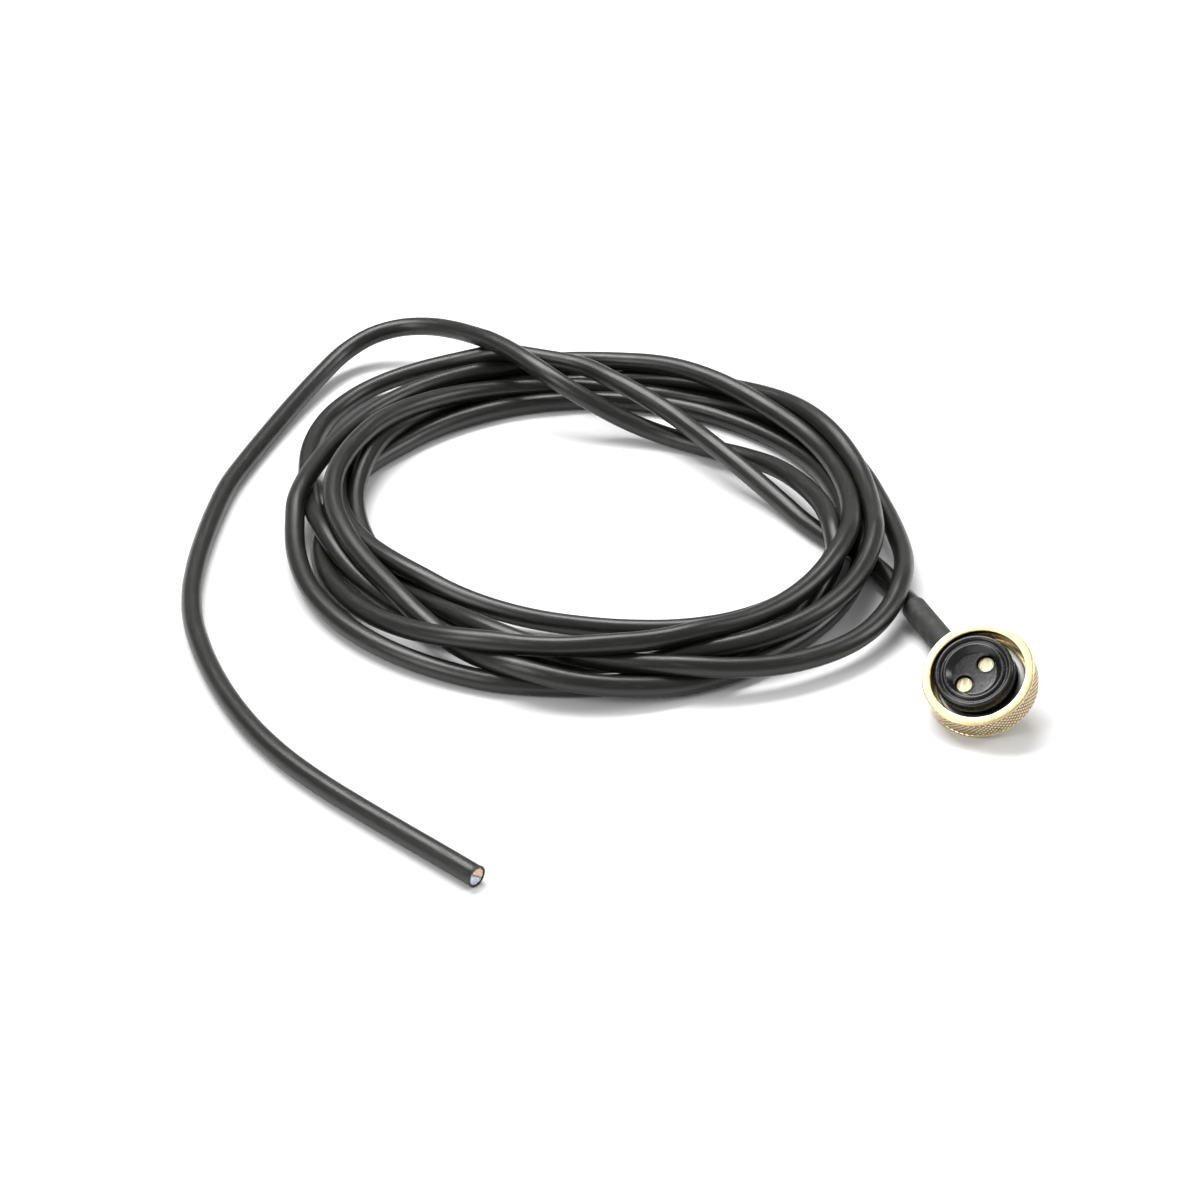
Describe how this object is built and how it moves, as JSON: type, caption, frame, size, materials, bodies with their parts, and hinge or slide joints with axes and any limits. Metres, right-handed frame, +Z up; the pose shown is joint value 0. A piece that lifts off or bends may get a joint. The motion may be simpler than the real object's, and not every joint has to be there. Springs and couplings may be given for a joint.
{
  "type": "right-angle plug lead",
  "caption": "Right-angle two-contact plug with a loose knurled brass coupling ring on a coiled round black cable whose far end is cut off bare.",
  "frame": {"origin": "middle of the plug's footprint on the surface it lies on", "axes": "+Z up; +Y away from the viewer, roughly along the plug's neck; +X to the right, away from the coil"},
  "size_m": [0.2635, 0.3032, 0.0252],
  "materials": {
    "brass": "machined, polished lip, fine diamond knurl",
    "contact_brass": "turned, pale",
    "washer_steel": "dull plated",
    "moulding": "glossy moulding with faint ring marks",
    "neck_rubber": "satin",
    "sheath": "semi-gloss extruded PVC",
    "brown_core": "satin",
    "blue_core": "satin",
    "copper": "bright cut copper",
    "tinned": "solder"
  },
  "bodies": {
    "plug_and_cable": {"contact_insert": "moulding", "contact_brown": "contact_brass", "contact_blue": "contact_brass", "soldered_end_brown": "tinned", "soldered_end_blue": "tinned", "core_in_elbow_brown": "brown_core", "core_in_elbow_blue": "blue_core", "elbow_housing": "moulding", "strain_relief_boot": "neck_rubber", "sheath_in_neck": "sheath", "cable_lead": "sheath", "cable_coil": "sheath", "cable_outer_loop": "sheath", "cable_chord": "sheath", "cable_tail": "sheath", "cut_sheath": "sheath", "cut_insulation_brown": "brown_core", "cut_insulation_blue": "blue_core", "cut_strands_brown": "copper", "cut_strands_blue": "copper"},
    "washer": {"thrust_washer": "washer_steel"},
    "ring": {"coupling_ring": "brass"}
  },
  "joints": [
    {"name": "washer_slide", "type": "slide", "parent": "plug_and_cable", "child": "washer", "axis": [-0.3061, -0.4355, 0.8465], "range_m": [0, 0.0022]},
    {"name": "ring_turn", "type": "hinge", "parent": "washer", "child": "ring", "pos_m": [0.0017, -0.0153, 0.00886], "axis": [-0.3061, -0.4355, 0.8465], "continuous": true}
  ]
}
